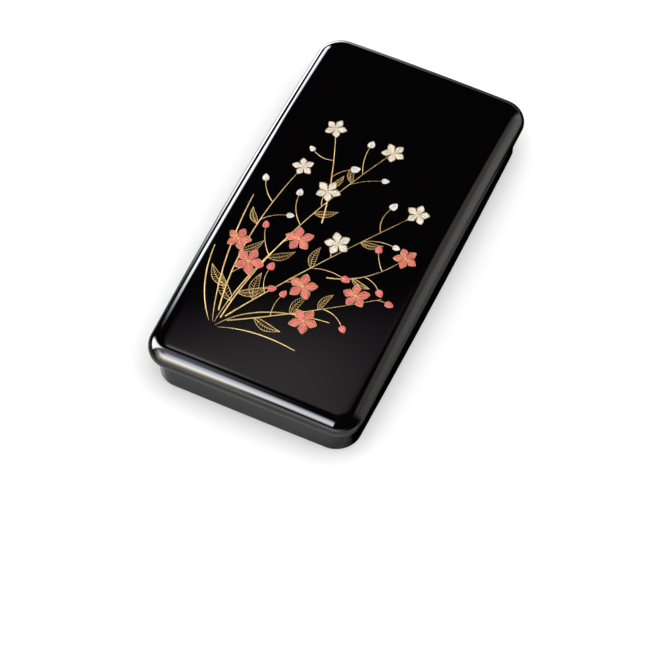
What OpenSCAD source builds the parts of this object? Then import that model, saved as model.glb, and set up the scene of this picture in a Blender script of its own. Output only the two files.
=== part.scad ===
// Lacquered writing box: a domed lid over a shallow case, with a lift-out tray
// that carries an inkstone, a water dropper, an ink stick and two brushes.
// X is the width, Y the length with the front at -Y, and Z is up from the table.

/* [Case outline] */
// Overall length, across the middle of the two short sides
case_len = 250; // [246:1:290]
// Overall width, across the middle of the two long sides
case_wid = 134; // [132:1:170]
// Overall height at the middle of the crown
case_h = 38; // [37:0.2:55]
// How far each long side bows out at its middle
long_bow = 1; // [0:0.1:2]
// How far each short side bows out at its middle
short_bow = 0.3; // [0:0.05:2]

/* [Lid] */
// Corner radius of the lid at its widest line
lid_corner_r = 15; // [12.5:0.5:20]
// Fall of the crown from the middle to a long edge
crown_side = 0.9; // [0:0.1:2]
// Fall of the crown from the middle to a short edge
crown_end = 5.8; // [2:0.1:7]
// Width of the rolled edge, from the shoulder to the widest line
roll_in = 10.3; // [8:0.1:11]
// Height of the rolled edge, from the shoulder to the widest line
roll_drop = 10.3; // [8:0.1:12]
// How far the lower edge of the lid tucks back under the widest line
tuck_in = 3.8; // [2:0.1:4.8]
// Thickness of the lid's lower edge
lid_edge_t = 2.4; // [2:0.1:2.8]
// Thickness of the lid at the middle of the crown
lid_top_t = 4.5; // [3.5:0.1:6]
// Radius between the lid's inner wall and its ceiling
lid_inner_r = 3; // [1:0.5:5]

/* [Case body] */
// Height of the ledge that the lid stands on
ledge_z = 19.3; // [17:0.1:22]
// Corner radius of the body at its outer wall
body_corner_r = 15; // [13:0.5:20]
// Taper of the outer wall between the ledge and the foot
wall_taper = 0.4; // [0:0.1:1.5]
// Radius of the rounded foot edge
foot_r = 0.8; // [0.5:0.1:3]
// Radius of the rounded edge of the ledge
ledge_r = 0.6; // [0.3:0.1:1]
// Height of the inner rim above the ledge
rim_h = 4.2; // [3:0.1:6]
// Thickness of the inner rim
rim_t = 2.2; // [2:0.1:3]
// Thickness of the floor
floor_t = 3.5; // [3:0.1:5]

/* [Fits] */
// Gap between a piece and the face it stands on
seat_gap = 0.3; // [0.2:0.05:0.5]
// Gap between the lid's lower edge and the inner rim
rim_gap = 0.3; // [0.3:0.05:0.6]
// Gap around the tray inside the case
tray_gap = 0.5; // [0.4:0.1:1]
// Gap around a piece in its well
well_gap = 0.5; // [0.4:0.1:1]

/* [Tray] */
// Overall height of the tray
tray_h = 18; // [15:0.5:19]
// Thickness of the tray's floor board
tray_floor_t = 2; // [1.5:0.1:3]
// Thickness of the side and end rails
rail_t = 3; // [2.5:0.1:4]
// Corner radius of the tray
tray_corner_r = 9.5; // [9.5:0.5:12]
// Thickness of the divider beside the brushes
divider_t = 4; // [3:0.5:5]
// Height of the divider above the tray's floor board
divider_h = 12.2; // [11:0.1:13]
// Thickness of the board with the wells
board_t = 10; // [8:0.5:11]
// Narrowest web of the board beside a well
board_web = 3.5; // [3:0.1:4]
// Web of the board between the stone and the wells behind it
board_bridge = 6; // [4:0.5:9]
// Depth of the ink stick's well
stick_well_depth = 5; // [4:0.5:6]
// Radius of the finger scoops in the end rails
scoop_r = 14; // [12:0.5:18]
// Depth of the finger scoops
scoop_depth = 7; // [5:0.5:9]
// Height of the brush rests above the tray's floor board
rest_h = 8; // [7:0.5:9]
// Thickness of the brush rests
rest_t = 6; // [4:0.5:8]
// Distance from the large brush's button to the middle of the front rest
rest_from_button = 38.5; // [20:0.5:60]
// Distance from the large brush's collar back to the middle of the back rest
rest_from_collar = 11.5; // [6:0.5:30]

/* [Inkstone] */
// Width of the inkstone
stone_w = 66; // [56:0.5:68]
// Length of the inkstone
stone_l = 115; // [100:0.5:116]
// Height of the inkstone
stone_h = 17; // [14:0.5:19]
// Corner radius of the inkstone
stone_r = 4; // [2:0.5:8]
// Width of the rim round the grinding face
stone_rim = 5; // [4:0.5:7]
// Depth of the grinding face below the rim
land_depth = 1.6; // [1:0.1:2.5]
// Depth of the ink pond below the rim
pond_depth = 9; // [7:0.5:10]
// Length of the flat bottom of the pond
pond_len = 17; // [12:0.5:22]
// Length of the slope from the grinding face into the pond
slope_len = 14; // [8:0.5:20]

/* [Water dropper] */
// Width of the water dropper
dropper_w = 40; // [36:0.5:41]
// Length of the water dropper
dropper_l = 58; // [45:0.5:62]
// Height of the water dropper's tank
dropper_h = 16; // [13:0.5:17]
// Corner radius of the water dropper
dropper_r = 7; // [4:0.5:10]
// Thickness of the sheet metal
sheet_t = 0.8; // [0.6:0.1:1.2]
// Outer radius of the raised boss on its top
boss_r = 11; // [8:0.5:13]
// Height of the raised boss
boss_h = 1; // [0.6:0.1:1.4]
// Radius of the air hole in the boss
vent_r = 1.5; // [1:0.1:1.9]
// Outer radius of the spout
spout_r = 2.8; // [2.2:0.1:3.2]
// Wall of the spout tube
spout_wall = 1.1; // [0.8:0.1:1.2]
// Height of the spout above the top
spout_h = 3.2; // [2:0.1:4]

/* [Ink stick] */
// Width of the ink stick
stick_w = 19; // [15:0.5:20]
// Web of the board at each end of the ink stick's well
stick_web = 6.75; // [4:0.25:14]
// Thickness of the ink stick
stick_t = 10; // [8:0.5:12]
// Corner radius of the ink stick
stick_r = 4; // [2:0.5:6]
// Depth of the sunk panel on its face
stick_panel = 0.6; // [0.3:0.1:1]

/* [Brushes] */
// Radius of the large brush's shaft
large_r = 4.2; // [3.5:0.1:4.6]
// Room between each end of the large brush and the tray
large_room = 9.25; // [5:0.25:16]
// Length of the large brush's hair
large_hair = 37; // [28:1:38]
// Radius of the small brush's shaft
small_r = 3.1; // [2.5:0.1:3.4]
// Room between each end of the small brush and the tray
small_room = 15.75; // [5:0.25:24]
// Length of the small brush's hair
small_hair = 25; // [18:1:28]
// Length of the collar between shaft and hair
collar_len = 14; // [8:1:16]
// Length of the button at the end of a shaft
button_len = 4; // [3:0.5:6]

/* [Hidden] */
$fn = 48;
e = 0.01;                    // overrun that keeps a cut clear of a face

lacquer = [0.03, 0.03, 0.035];
tray_lacquer = [0.12, 0.02, 0.02];
stone_grey = [0.17, 0.18, 0.2];
brass = [0.78, 0.6, 0.32];
ink_black = [0.07, 0.07, 0.08];
bamboo = [0.8, 0.66, 0.42];
horn = [0.14, 0.1, 0.08];
hair_white = [0.9, 0.87, 0.8];

// plan of the case: half sizes of the straight-sided rectangle inside the bows
half_w = case_wid / 2 - long_bow;
half_l = case_len / 2 - short_bow;
arc_n = 9;                   // steps round a corner
side_n = 10;                 // steps along a side

// heights
lid_z = ledge_z + seat_gap;              // underside of the lid's lower edge
widest_z = case_h - roll_drop;           // widest line of the lid
rim_z = ledge_z + rim_h;
tray_z = floor_t + seat_gap;             // underside of the tray
deck_z = tray_z + tray_floor_t;          // top of the tray's floor board
well_z = deck_z + seat_gap;              // underside of what stands in a well
board_z = deck_z + board_t;

// insets from the widest line of the lid
body_in = tuck_in;                       // outer wall of the body, flush with the lid's edge
rim_out = tuck_in + lid_edge_t + rim_gap;
cavity_in = rim_out + rim_t;

// tray plan
cavity_corner_r = body_corner_r - (cavity_in - body_in);
tray_w = 2 * (half_w - cavity_in - tray_gap);
tray_l = 2 * (half_l - cavity_in - tray_gap);
bay_w = stone_w + 2 * (well_gap + board_web);
bay_x1 = tray_w / 2 - rail_t;            // right edge of the bay for stone and dropper
bay_x0 = bay_x1 - bay_w;
bay_y1 = tray_l / 2 - rail_t;
bay_y0 = -bay_y1;
trough_x0 = -tray_w / 2 + rail_t;        // trough for the brushes
trough_x1 = bay_x0 - divider_t;
trough_mid = (trough_x0 + trough_x1) / 2;

// places in the bay
stone_x = (bay_x0 + bay_x1) / 2;
stone_y = bay_y0 + board_bridge + stone_l / 2;
rear_y0 = stone_y + stone_l / 2 + board_bridge;
rear_y = (rear_y0 + bay_y1) / 2;
stick_l = bay_y1 - rear_y0 - 2 * (stick_web + well_gap);
dropper_x = bay_x0 + board_web + well_gap + dropper_w / 2;
stick_x = bay_x1 - board_web - well_gap - stick_w / 2;
stick_z = board_z - stick_well_depth + seat_gap;
dropper_top_z = well_z + dropper_h;
spout_y = rear_y - dropper_l / 2 + 9;
spout_bore_r = spout_r - spout_wall;

// places of the brushes: both lie on the rests at the same height above the deck
brush_step = (trough_x1 - trough_x0 - 2 * large_r - 2 * small_r) / 3;
large_x = trough_x0 + brush_step + large_r;
small_x = trough_x1 - brush_step - small_r;
notch_z = deck_z + rest_h - 3;           // lowest point of a notch
large_z = notch_z + seat_gap + large_r;
small_z = notch_z + seat_gap + small_r;
large_collar_r = large_r + 0.5;
small_collar_r = small_r + 0.2;
small_collar_len = collar_len / 2;
large_total = bay_y1 - bay_y0 - 2 * large_room;
small_total = bay_y1 - bay_y0 - 2 * small_room;
large_len = large_total - button_len - collar_len - large_hair;
small_len = small_total - button_len - small_collar_len - small_hair;
rest_front_y = -large_total / 2 + button_len + rest_from_button;
rest_back_y = rest_front_y - rest_from_button + large_len - rest_from_collar;

// ---- plan curves and skins ----

function arc_points(cx, cy, r, from) =
    [for (k = [0:arc_n]) [cx + r * cos(from + 90 * k / arc_n), cy + r * sin(from + 90 * k / arc_n)]];

function between(p, q) = [for (k = [1:side_n - 1]) p + (q - p) * k / side_n];

// rounded rectangle with half sizes w and l, walked anticlockwise from the right-hand side
function straight_plan(w, l, r) = concat(
    arc_points(w - r, l - r, r, 0), between([w - r, l], [r - w, l]),
    arc_points(r - w, l - r, r, 90), between([-w, l - r], [-w, r - l]),
    arc_points(r - w, r - l, r, 180), between([r - w, -l], [w - r, -l]),
    arc_points(w - r, r - l, r, 270), between([w, r - l], [w, l - r]));

// the same with its sides bowed out
function bowed_plan(w, l, r) = [for (p = straight_plan(w, l, r))
    [p.x * (1 + long_bow / w * (1 - pow(p.y / l, 2))),
     p.y * (1 + short_bow / l * (1 - pow(p.x / w, 2)))]];

// how far the crown has fallen at a point
function crown(x, y) = -crown_side * pow(x / half_w, 2) - crown_end * pow(y / half_l, 2);

// one ring of a skin: inset from the widest line, corner radius, height,
// share of the crown that it follows, and its size as a share of the plan
function ring(inset, r, z, follow = 0, size = 1) =
    [for (p = bowed_plan(half_w - inset, half_l - inset, r))
        [size * p.x, size * p.y, z + follow * crown(size * p.x, size * p.y)]];

// closed skin over rings, from a middle point to a middle point
module skin(first, rings, last) {
    n = len(rings[0]);
    count = len(rings);
    end = 1 + n * count;
    points = concat([first], [for (loop = rings) for (p = loop) p], [last]);
    start_fan = [for (k = [0:n - 1]) [0, 1 + (k + 1) % n, 1 + k]];
    walls = [for (j = [0:count - 2]) for (k = [0:n - 1])
        let (a = 1 + n * j + k, b = 1 + n * j + (k + 1) % n)
        for (face = [[a, b, b + n], [a, b + n, a + n]]) face];
    end_fan = [for (k = [0:n - 1]) [end - n + k, end - n + (k + 1) % n, end]];
    polyhedron(points = points, faces = concat(start_fan, walls, end_fan), convexity = 6);
}

// ---- small building blocks ----

// upright plate with round corners, centred in plan
module plate(w, l, r, h) {
    linear_extrude(h) {
        square([w - 2 * r, l], center = true);
        square([w, l - 2 * r], center = true);
        for (x = [-1, 1], y = [-1, 1])
            translate([x * (w / 2 - r), y * (l / 2 - r)]) circle(r);
    }
}

// ---- case ----

// a quarter of the rolled edge of the lid, shoulder to widest line
function lid_roll() = [for (a = [0:11.25:90])
    ring(roll_in * (1 - sin(a)), lid_corner_r - roll_in * (1 - sin(a)),
         case_h - roll_drop * (1 - cos(a)), (1 + cos(a)) / 2)];

// from the widest line down to the lower edge, tucking back
tuck_end = 60;               // angle on its ellipse at which the edge is cut off
tuck_z = lid_z + ledge_r;    // where the curve meets the rounding of the lower edge
function lid_tuck() = [for (a = [12:12:tuck_end])
    let (inset = tuck_in * (1 - cos(a)) / (1 - cos(tuck_end)), low = sin(a) / sin(tuck_end))
    ring(inset, lid_corner_r - inset, widest_z - (widest_z - tuck_z) * low, 0.5 * (1 - a / tuck_end))];

module lid() {
    inner_in = tuck_in + lid_edge_t;
    inner_r = lid_corner_r - inner_in;
    ceiling_z = case_h - lid_top_t;
    follow_in = 0.8;         // the ceiling follows most of the crown
    color(lacquer) skin([0, 0, case_h], concat(
        [for (size = [0.2, 0.4, 0.6, 0.8, 0.93]) ring(roll_in, lid_corner_r - roll_in, case_h, 1, size)],
        lid_roll(),
        lid_tuck(),
        [ring(tuck_in + ledge_r, lid_corner_r - tuck_in - ledge_r, lid_z),
         ring(inner_in - 0.3, inner_r + 0.3, lid_z),
         ring(inner_in, inner_r, lid_z + 0.3)],
        [for (a = [0:30:90])
            ring(inner_in + lid_inner_r * (1 - cos(a)), inner_r + 1,
                 ceiling_z - lid_inner_r * (1 - sin(a)), follow_in)],
        [for (size = [0.75, 0.5, 0.25]) ring(inner_in + lid_inner_r, inner_r + 1, ceiling_z, follow_in, size)]
    ), [0, 0, ceiling_z]);
}

function body_ring(inset, z) = ring(inset, body_corner_r - (inset - body_in), z);

module box_body() {
    fillet = tray_gap + seat_gap;  // between floor and wall, small enough to clear the tray's corner
    rim_edge = 0.5;          // rounding on top of the rim
    wall_low = body_in + wall_taper;
    color(lacquer) skin([0, 0, floor_t], concat(
        [for (a = [0:30:90])
            body_ring(cavity_in + fillet * (1 - sin(a)), floor_t + fillet * (1 - cos(a)))],
        [body_ring(cavity_in, rim_z - rim_edge),
         body_ring(cavity_in - rim_edge, rim_z),
         body_ring(rim_out + rim_edge, rim_z),
         body_ring(rim_out, rim_z - rim_edge),
         body_ring(rim_out, ledge_z),
         body_ring(body_in + ledge_r, ledge_z),
         body_ring(body_in + ledge_r * 0.3, ledge_z - ledge_r * 0.3),
         body_ring(body_in, ledge_z - ledge_r)],
        [for (a = [0:22.5:90])
            body_ring(wall_low + foot_r * (1 - cos(a)), foot_r * (1 - sin(a)))]
    ), [0, 0, 0]);
}

// ---- tray ----

module tray_floor() {
    color(tray_lacquer) translate([0, 0, tray_z]) plate(tray_w, tray_l, tray_corner_r, tray_floor_t);
}

// the ring of rails, before it is divided
module tray_wall() {
    h = tray_h - tray_floor_t;
    translate([0, 0, deck_z]) difference() {
        plate(tray_w, tray_l, tray_corner_r, h);
        translate([0, 0, -e]) plate(tray_w - 2 * rail_t, tray_l - 2 * rail_t, tray_corner_r - rail_t, h + 2 * e);
    }
}

end_rail_w = tray_w - 2 * tray_corner_r;  // the end rails stop where the corners begin

// side = -1 left, 1 right: a long rail with its two rounded corners
module tray_side_rail(side) {
    color(tray_lacquer) intersection() {
        tray_wall();
        translate([side * (end_rail_w + tray_w) / 2, 0, deck_z + tray_h / 2])
            cube([tray_w, tray_l + 2, tray_h + 2], center = true);
    }
}

// side = -1 front, 1 back: an end rail with its finger scoop
module tray_end_rail(side) {
    top_z = tray_z + tray_h;
    color(tray_lacquer) difference() {
        translate([-end_rail_w / 2, side * (tray_l / 2 - rail_t / 2) - rail_t / 2, deck_z])
            cube([end_rail_w, rail_t, top_z - deck_z]);
        translate([0, side * tray_l / 2, top_z - scoop_depth + scoop_r])
            rotate([90, 0, 0]) cylinder(r = scoop_r, h = 3 * rail_t, center = true);
    }
}

module tray_divider() {
    color(tray_lacquer) translate([trough_x1, bay_y0, deck_z])
        cube([divider_t, bay_y1 - bay_y0, divider_h]);
}

// the board that holds stone, dropper and ink stick by their sides
module well_board() {
    corner = tray_corner_r - rail_t;
    color(tray_lacquer) difference() {
        union() {
            translate([bay_x0, bay_y0, deck_z]) cube([bay_w - corner, bay_y1 - bay_y0, board_t]);
            translate([bay_x0, bay_y0 + corner, deck_z]) cube([bay_w, bay_y1 - bay_y0 - 2 * corner, board_t]);
            for (y = [bay_y0 + corner, bay_y1 - corner])
                translate([bay_x1 - corner, y, deck_z]) cylinder(r = corner, h = board_t);
        }
        translate([stone_x, stone_y, deck_z - e])
            plate(stone_w + 2 * well_gap, stone_l + 2 * well_gap, stone_r, board_t + 2 * e);
        translate([dropper_x, rear_y, deck_z - e])
            plate(dropper_w + 2 * well_gap, dropper_l + 2 * well_gap, dropper_r, board_t + 2 * e);
        translate([stick_x, rear_y, board_z - stick_well_depth])
            plate(stick_w + 2 * well_gap, stick_l + 2 * well_gap, stick_r, stick_well_depth + e);
    }
}

// a bar with one notch for each brush
module brush_rest(y) {
    color(tray_lacquer) translate([0, y, 0]) difference() {
        translate([trough_x0, -rest_t / 2, deck_z]) cube([trough_x1 - trough_x0, rest_t, rest_h]);
        for (brush = [[large_x, large_z, large_r], [small_x, small_z, small_r]])
            translate([brush[0], 0, brush[1]]) rotate([90, 0, 0])
                cylinder(r = brush[2] + seat_gap, h = rest_t + 2, center = true);
    }
}

// ---- inkstone ----

module inkstone() {
    inner_l = stone_l - 2 * stone_rim;
    y0 = -inner_l / 2;
    y1 = inner_l / 2;
    pond_y = y1 - pond_len;              // near end of the flat pond bottom
    steps = 6;
    color(stone_grey) translate([stone_x, stone_y, well_z]) difference() {
        plate(stone_w, stone_l, stone_r, stone_h);
        intersection() {
            translate([0, 0, 1]) plate(stone_w - 2 * stone_rim, inner_l, stone_r + 3, stone_h);
            translate([-stone_w / 2, 0, stone_h]) rotate([90, 0, 90]) linear_extrude(stone_w) polygon(concat(
                [[y0 - 1, 1], [y0 - 1, -land_depth], [pond_y - slope_len, -land_depth]],
                [for (k = [1:steps]) [pond_y - slope_len + slope_len * k / steps,
                    -land_depth - (pond_depth - land_depth) * (1 - cos(180 * k / steps)) / 2]],
                [[y1 + 1, -pond_depth], [y1 + 1, 1]]));
        }
    }
}

// ---- water dropper ----

module dropper_tank() {
    color(brass) translate([dropper_x, rear_y, well_z]) difference() {
        plate(dropper_w, dropper_l, dropper_r, dropper_h);
        translate([0, 0, sheet_t])
            plate(dropper_w - 2 * sheet_t, dropper_l - 2 * sheet_t, dropper_r - sheet_t, dropper_h);
    }
}

module dropper_top() {
    color(brass) translate([0, 0, dropper_top_z]) difference() {
        union() {
            translate([dropper_x, rear_y, 0]) plate(dropper_w, dropper_l, dropper_r, sheet_t);
            translate([dropper_x, rear_y, sheet_t - e])
                cylinder(r1 = boss_r, r2 = boss_r - boss_h, h = boss_h + e);
        }
        translate([dropper_x, rear_y, -e]) cylinder(r = vent_r, h = sheet_t + boss_h + 2 * e);
        translate([dropper_x, spout_y, -e]) cylinder(r = spout_bore_r, h = sheet_t + 2 * e);
    }
}

module dropper_spout() {
    color(brass) translate([dropper_x, spout_y, dropper_top_z + sheet_t]) difference() {
        cylinder(r = spout_r, h = spout_h);
        translate([0, 0, -e]) cylinder(r = spout_bore_r, h = spout_h + 2 * e);
        // the mouth is cut on a slant so that it pours
        translate([0, 0, spout_h + spout_r * 0.4]) rotate([-35, 0, 0])
            translate([0, 0, spout_r]) cube([4 * spout_r, 4 * spout_r, 2 * spout_r], center = true);
    }
}

// ---- ink stick ----

module ink_stick() {
    border = 2.2;            // plain edge round the sunk panel
    color(ink_black) translate([stick_x, rear_y, stick_z]) difference() {
        plate(stick_w, stick_l, stick_r, stick_t);
        translate([0, 0, stick_t - stick_panel])
            plate(stick_w - 2 * border, stick_l - 2 * border, stick_r - border / 2, stick_panel + e);
    }
}

// ---- brushes ----

// lays an upright solid down along +Y, centred on a brush of the given total length
module lay_brush(x, z, total) {
    translate([x, -total / 2, z]) rotate([-90, 0, 0]) children();
}

// bamboo with its growth rings, from 0 up
module brush_shaft(r, length) {
    ring_h = 1.2;
    color(bamboo) {
        cylinder(r = r, h = length);
        for (share = [0.42, 0.75]) translate([0, 0, length * share]) {
            cylinder(r1 = r - e, r2 = r + 0.25, h = ring_h);
            translate([0, 0, ring_h]) cylinder(r1 = r + 0.25, r2 = r - e, h = ring_h);
        }
    }
}

module brush_collar(r, length) {
    color(horn) rotate_extrude() polygon([
        [0, 0], [r - 0.4, 0], [r, 0.6], [r, length * 0.6], [r - 0.5, length], [0, length]]);
}

// hair that swells from its root and draws to a point
module brush_hair(r, length) {
    steps = 12;
    color(hair_white) rotate_extrude() polygon(concat([[0, 0]],
        [for (k = [0:steps - 1]) let (t = k / steps)
            [r * (0.82 + 0.45 * sin(180 * min(1, t * 1.5))) * pow(1 - pow(t, 2.6), 0.8), length * t]],
        [[0, length]]));
}

module brush_button(r, length) {
    color(horn) rotate_extrude() intersection() {
        translate([0, -length * 0.2]) scale([r / length, 1]) circle(length * 1.2);
        translate([0, -length]) square([2 * r, length]);
    }
}

module large_part(at) { lay_brush(large_x, large_z, large_total) translate([0, 0, at]) children(); }
module small_part(at) { lay_brush(small_x, small_z, small_total) translate([0, 0, at]) children(); }

module large_brush_shaft() { large_part(button_len) brush_shaft(large_r, large_len); }
module large_brush_collar() { large_part(button_len + large_len) brush_collar(large_collar_r, collar_len); }
module large_brush_hair() { large_part(large_total - large_hair) brush_hair(large_r - 0.1, large_hair); }
module large_brush_button() { large_part(button_len) brush_button(large_r * 0.8, button_len); }
module small_brush_shaft() { small_part(button_len) brush_shaft(small_r, small_len); }
module small_brush_collar() { small_part(button_len + small_len) brush_collar(small_collar_r, small_collar_len); }
module small_brush_hair() { small_part(small_total - small_hair) brush_hair(small_r - 0.3, small_hair); }
module small_brush_button() { small_part(button_len) brush_button(small_r * 0.8, button_len); }

box_body();
lid();
tray_floor();
tray_side_rail(-1);  // tray_rail_left
tray_side_rail(1);  // tray_rail_right
tray_end_rail(-1);  // tray_rail_front
tray_end_rail(1);  // tray_rail_back
tray_divider();
well_board();
brush_rest(rest_front_y);  // brush_rest_front
brush_rest(rest_back_y);  // brush_rest_back
inkstone();
dropper_tank();
dropper_top();
dropper_spout();
ink_stick();
large_brush_shaft();
large_brush_collar();
large_brush_hair();
large_brush_button();
small_brush_shaft();
small_brush_collar();
small_brush_hair();
small_brush_button();
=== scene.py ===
"""Dresses the writing box: lacquer skins, the inlaid lid, the tray and the things that it carries."""

import math
import random

import bmesh
import bpy
from bpy.props import FloatProperty, FloatVectorProperty, IntProperty, PointerProperty
from mathutils import Matrix, Vector


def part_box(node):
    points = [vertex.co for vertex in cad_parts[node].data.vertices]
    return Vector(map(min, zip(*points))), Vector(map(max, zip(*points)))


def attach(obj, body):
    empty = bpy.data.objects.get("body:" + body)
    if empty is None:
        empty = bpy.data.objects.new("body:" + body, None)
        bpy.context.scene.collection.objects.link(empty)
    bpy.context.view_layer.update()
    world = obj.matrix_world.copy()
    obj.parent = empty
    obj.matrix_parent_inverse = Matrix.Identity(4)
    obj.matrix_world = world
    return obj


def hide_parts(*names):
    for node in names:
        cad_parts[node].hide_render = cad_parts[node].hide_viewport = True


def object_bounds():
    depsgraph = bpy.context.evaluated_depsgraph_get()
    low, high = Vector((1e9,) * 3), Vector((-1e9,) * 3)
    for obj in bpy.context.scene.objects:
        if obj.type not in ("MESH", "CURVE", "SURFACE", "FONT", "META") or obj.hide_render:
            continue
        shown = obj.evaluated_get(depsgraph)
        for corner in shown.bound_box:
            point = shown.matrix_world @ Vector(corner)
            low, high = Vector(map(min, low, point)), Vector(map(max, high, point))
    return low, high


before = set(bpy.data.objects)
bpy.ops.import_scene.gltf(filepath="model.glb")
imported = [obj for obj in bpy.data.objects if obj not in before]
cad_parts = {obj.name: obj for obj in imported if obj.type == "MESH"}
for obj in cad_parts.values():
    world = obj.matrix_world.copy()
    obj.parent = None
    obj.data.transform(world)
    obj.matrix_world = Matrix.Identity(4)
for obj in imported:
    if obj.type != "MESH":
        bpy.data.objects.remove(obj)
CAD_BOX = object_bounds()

bl_info = {
    "name": "Lacquered writing box",
    "version": (1, 0, 0),
    "blender": (4, 5, 0),
    "location": "View3D > Sidebar > Writing box",
    "description": "Makes a lacquered writing box with an inlaid lid, on a pale studio floor",
    "category": "Add Mesh",
}

MM = 0.001                     # lengths in this file are millimetres, and Blender's are metres


def linear(code):
    """The linear colour of an sRGB hex value such as 'C9A24B'."""
    channels = [int(code[k:k + 2], 16) / 255 for k in (0, 2, 4)]
    return [c / 12.92 if c <= 0.04045 else ((c + 0.055) / 1.055) ** 2.4 for c in channels]


# ---------------------------------------------------------------- properties

def length(name, default, description, low=0.0):
    """A length in millimetres that a user would change."""
    return FloatProperty(name=name, default=default, description=description, soft_min=low)


def colour(name, code, description):
    return FloatVectorProperty(name=name, default=linear(code), description=description,
                               subtype="COLOR", size=3, min=0.0, max=1.0)


def angle(name, degrees, description):
    return FloatProperty(name=name, default=math.radians(degrees), description=description,
                         subtype="ANGLE", unit="ROTATION")


CASE_LOW, CASE_HIGH = (Vector(corner) / MM for corner in CAD_BOX)


class CaseSizes(bpy.types.PropertyGroup):
    """Sizes of the lid and the body, in millimetres."""
    length: length("Length", CASE_HIGH.y - CASE_LOW.y, "Overall length")
    width: length("Width", CASE_HIGH.x - CASE_LOW.x, "Overall width")
    height: length("Height", CASE_HIGH.z, "Overall height at the middle of the crown")
    long_bow: length("Long bow", 1.0, "How far each long side bows out")
    short_bow: length("Short bow", 0.3, "How far each short side bows out")
    crown_side: length("Crown to the sides", 0.9, "Fall of the crown to a long edge")
    crown_end: length("Crown to the ends", 5.8, "Fall of the crown to a short edge")
    corner: length("Lid corner", 15.0, "Corner radius of the lid")
    roll_in: length("Roll width", 10.3, "Width of the rolled edge")
    roll_drop: length("Roll height", 10.3, "Height of the rolled edge")
    tuck: length("Tuck", 3.8, "How far the lid's lower edge tucks back")
    edge: length("Lid edge", 2.4, "Thickness of the lid's lower edge")
    top: length("Lid thickness", 4.5, "Thickness of the lid at the middle")
    body_corner: length("Body corner", 15.0, "Corner radius of the body")
    ledge: length("Ledge height", 19.3, "Height of the ledge that the lid stands on")


class ViewSizes(bpy.types.PropertyGroup):
    """Where the camera stands."""
    azimuth: angle("Azimuth", 25.14, "Turn of the camera about the box")
    elevation: angle("Elevation", 57.78, "Height of the camera above the horizon")
    distance: length("Distance", 1790.8, "Distance from the camera to the box, in mm")
    aside: length("Aside", -3.1, "Shift of the view to the right, in mm", -500.0)
    up: length("Up", -46.6, "Shift of the view upwards, in mm", -500.0)
    lens: FloatProperty(name="Lens", default=165.9,
                        description="Focal length for a 36 mm sensor, in mm")


class Finishes(bpy.types.PropertyGroup):
    """Colours of the finishes."""
    lacquer: colour("Lacquer", "050405", "Polished black lacquer")
    coral: colour("Coral", "EB7C74", "Coral pigment of the inlay")
    # Deep coral is painted shade: the coral turns to it where the strokes sink.
    coral_in_shade: colour("Deep coral", "A83A38", "Coral pigment in the deeper strokes")
    white: colour("White", "FAF8F3", "White pigment of the inlay")
    # Deep white is painted shade: the white turns to it where the strokes sink.
    white_in_shade: colour("Deep white", "A19D96", "White pigment in the deeper strokes")
    gold: colour("Gold", "E6C88A", "Gold rubbed into the engraved lines")
    floor: colour("Floor", "F4F4F4", "Pale paper floor")


class InlaySizes(bpy.types.PropertyGroup):
    """Sizes of the inlay on the lid, in millimetres."""
    flower: length("Flower", 8.6, "Radius of a large flower")
    line: length("Line", 0.36, "Width of an engraved gold line")
    raise_by: length("Relief", 0.18, "Height of the pigment above the lacquer")
    seed: IntProperty(name="Seed", default=11, description="Seed of the small irregularities")


def props(name):
    return getattr(bpy.context.scene, "writing_box_" + name)


# ---------------------------------------------------------------- materials

def rgba(tint):
    return (*tint, 1.0)


def fill_sockets(tree, node, inputs):
    """Fills sockets, by name or number, each with a value or with a link from (node, output)."""
    for key, value in inputs.items():
        if isinstance(value, tuple) and isinstance(value[0], bpy.types.Node):
            tree.links.new(value[0].outputs[value[1]], node.inputs[key])
        else:
            node.inputs[key].default_value = value


def add_node(tree, kind, inputs=None, stops=(), **settings):
    """Adds a node with its settings and links. stops are the places and linear colours of a ramp."""
    node = tree.nodes.new(kind)
    for key, value in settings.items():
        setattr(node, key, value)
    for k, (place, tint) in enumerate(stops):
        node.color_ramp.elements[k].position = place
        node.color_ramp.elements[k].color = rgba(tint)
    fill_sockets(tree, node, inputs or {})
    return node


def cleared_tree(owner):
    """The emptied node tree of a material or a world."""
    owner.use_nodes = True
    owner.node_tree.nodes.clear()
    return owner.node_tree


def new_material(name):
    """A node material with its shader joined to its output."""
    material = bpy.data.materials.new(name)
    tree = cleared_tree(material)
    shader = add_node(tree, "ShaderNodeBsdfPrincipled")
    add_node(tree, "ShaderNodeOutputMaterial", {"Surface": (shader, "BSDF")})
    return material, tree, shader


def join(tree, shader, **sockets):
    """Fills the shader's sockets. A low line in a name stands for a blank."""
    fill_sockets(tree, shader, {name.replace("_", " "): value for name, value in sockets.items()})


def place_mm(tree, stretch=(1, 1, 1)):
    """Object coordinates in millimetres, each axis divided by its stretch."""
    where = add_node(tree, "ShaderNodeTexCoord")
    scale = tuple(1 / MM / s for s in stretch)
    return add_node(tree, "ShaderNodeMapping", {"Vector": (where, "Object"), "Scale": scale})


def polished_lacquer():
    """Black urushi, ground and polished to a mirror: hardly any colour, and faint long waves."""
    material, tree, shader = new_material("polished_black_lacquer")
    mm = place_mm(tree)
    waves = add_node(tree, "ShaderNodeTexNoise", {"Vector": (mm, 0), "Scale": 1 / 35, "Detail": 1.0})
    bump = add_node(tree, "ShaderNodeBump",
                    {"Height": (waves, 0), "Strength": 0.02, "Distance": 2 * MM})
    join(tree, shader, Base_Color=rgba(props("finishes").lacquer), Roughness=0.035, IOR=1.5,
         Normal=(bump, 0))
    return material


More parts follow.
